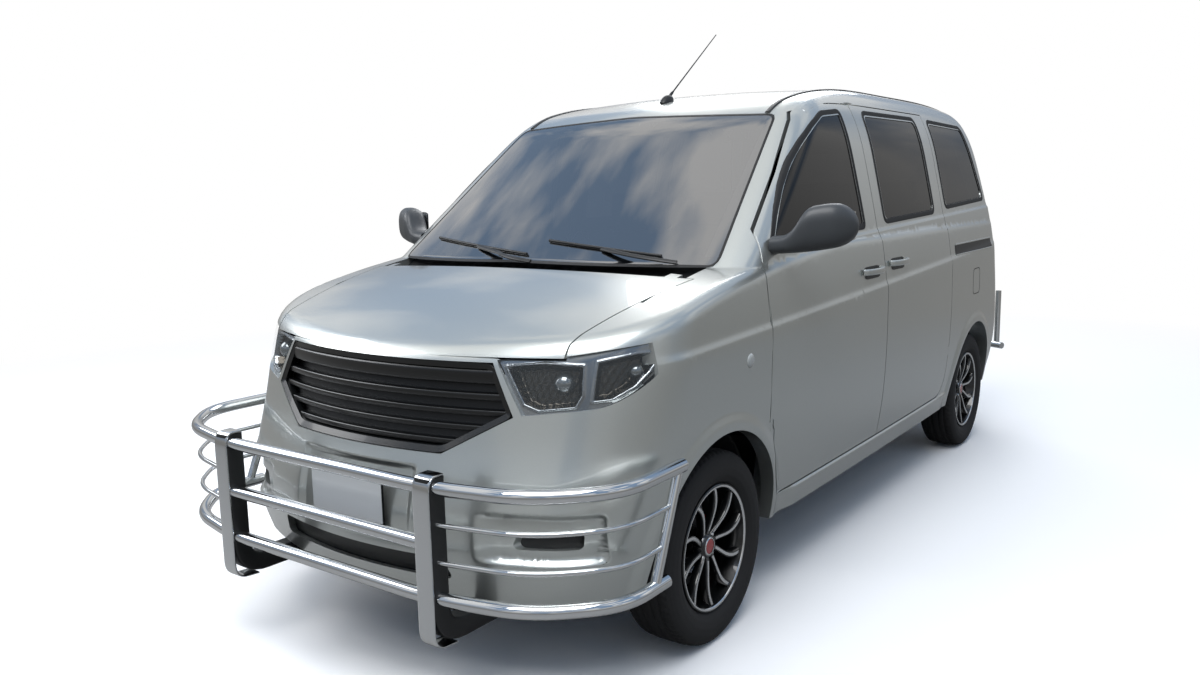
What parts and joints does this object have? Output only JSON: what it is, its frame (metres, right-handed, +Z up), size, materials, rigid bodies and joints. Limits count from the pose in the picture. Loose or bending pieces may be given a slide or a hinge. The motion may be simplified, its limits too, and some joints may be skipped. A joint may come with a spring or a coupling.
{
  "type": "minibus",
  "caption": "Silver minibus with sliding side doors, dark tinted windows, tube guards front and rear and thin-spoke wheels",
  "frame": {"origin": "on the ground under the middle of the overall length and width", "axes": "+X to the vehicle's left, +Y to the rear, +Z up; the front looks along -Y"},
  "size_m": [2.01, 4.51, 2.053],
  "materials": {
    "silver_paint": "gloss metallic",
    "tinted_glass": "polished, tinted",
    "lamp_lens": "clear",
    "red_lens": "gloss",
    "black_plastic": "satin",
    "grey_plastic": "satin",
    "guard_steel": "polished",
    "frame_steel": "satin",
    "cast_metal": "raw",
    "wheel_alloy": "polished on black",
    "tyre_rubber": "matte",
    "seat_cloth": "woven",
    "exhaust_steel": "satin"
  },
  "bodies": {
    "body": {"floor_pan": "frame_steel", "body_sides": "silver_paint", "roof_panel": "silver_paint", "cowl": "black_plastic", "front_fenders": "silver_paint", "front_bumper": "silver_paint", "rear_bumper": "silver_paint", "grille": "black_plastic", "sliding_doors": "silver_paint", "side_glass": "tinted_glass", "windshield": "tinted_glass", "headlamps": "lamp_lens", "tail_lamps": "red_lens", "sliding_handles": "silver_paint", "wipers": "black_plastic", "antenna": "black_plastic", "front_guard": "guard_steel", "rear_guard": "guard_steel", "engine_block": "cast_metal", "dashboard": "grey_plastic", "steering_wheel": "black_plastic", "front_seats": "seat_cloth", "second_row_seats": "seat_cloth", "rear_bench": "seat_cloth", "front_suspension": "frame_steel", "rear_axle": "cast_metal", "fuel_tank": "frame_steel", "exhaust": "exhaust_steel"},
    "hood": {"hood": "silver_paint"},
    "tailgate": {"tailgate": "silver_paint", "tailgate_glass": "tinted_glass"},
    "door_left": {"front_door_left": "silver_paint", "front_door_glass_left": "tinted_glass", "mirror_left": "grey_plastic", "handle_left": "silver_paint"},
    "door_right": {"front_door_right": "silver_paint", "front_door_glass_right": "tinted_glass", "mirror_right": "grey_plastic", "handle_right": "silver_paint"},
    "steer_left": {"knuckle_left": "cast_metal"},
    "steer_right": {"knuckle_right": "cast_metal"},
    "front_wheel_left": {"wheel_front_left": "wheel_alloy", "tyre_front_left": "tyre_rubber"},
    "front_wheel_right": {"wheel_front_right": "wheel_alloy", "tyre_front_right": "tyre_rubber"},
    "rear_wheel_left": {"wheel_rear_left": "wheel_alloy", "tyre_rear_left": "tyre_rubber"},
    "rear_wheel_right": {"wheel_rear_right": "wheel_alloy", "tyre_rear_right": "tyre_rubber"}
  },
  "joints": [
    {"name": "hood_hinge", "type": "hinge", "parent": "body", "child": "hood", "pos_m": [0, -1.333, 1.106], "axis": [-1, 0, 0], "range_deg": [0, 55]},
    {"name": "tailgate_hinge", "type": "hinge", "parent": "body", "child": "tailgate", "pos_m": [0, 1.775, 1.76869], "axis": [1, 0, 0], "range_deg": [0, 85]},
    {"name": "door_left_hinge", "type": "hinge", "parent": "body", "child": "door_left", "pos_m": [0.82051, -1.095, 0.9], "axis": [0, 0, -1], "range_deg": [0, 65]},
    {"name": "door_right_hinge", "type": "hinge", "parent": "body", "child": "door_right", "pos_m": [-0.82051, -1.095, 0.9], "axis": [0, 0, 1], "range_deg": [0, 65]},
    {"name": "steer_left", "type": "hinge", "parent": "body", "child": "steer_left", "pos_m": [0.67, -1.395, 0.19], "axis": [-0.2858, 0, 0.9583], "range_deg": [-33, 33]},
    {"name": "steer_right", "type": "hinge", "parent": "body", "child": "steer_right", "pos_m": [-0.67, -1.395, 0.19], "axis": [0.2858, 0, 0.9583], "range_deg": [-33, 33]},
    {"name": "front_wheel_left_spin", "type": "hinge", "parent": "steer_left", "child": "front_wheel_left", "pos_m": [0.715, -1.395, 0.3], "axis": [1, 0, 0], "continuous": true},
    {"name": "front_wheel_right_spin", "type": "hinge", "parent": "steer_right", "child": "front_wheel_right", "pos_m": [-0.715, -1.395, 0.3], "axis": [1, 0, 0], "continuous": true},
    {"name": "rear_wheel_left_spin", "type": "hinge", "parent": "body", "child": "rear_wheel_left", "pos_m": [0.715, 1.325, 0.3], "axis": [1, 0, 0], "continuous": true},
    {"name": "rear_wheel_right_spin", "type": "hinge", "parent": "body", "child": "rear_wheel_right", "pos_m": [-0.715, 1.325, 0.3], "axis": [1, 0, 0], "continuous": true}
  ],
  "couplings": [
    {"joint": "steer_right", "follows": "steer_left", "ratio": 1}
  ]
}
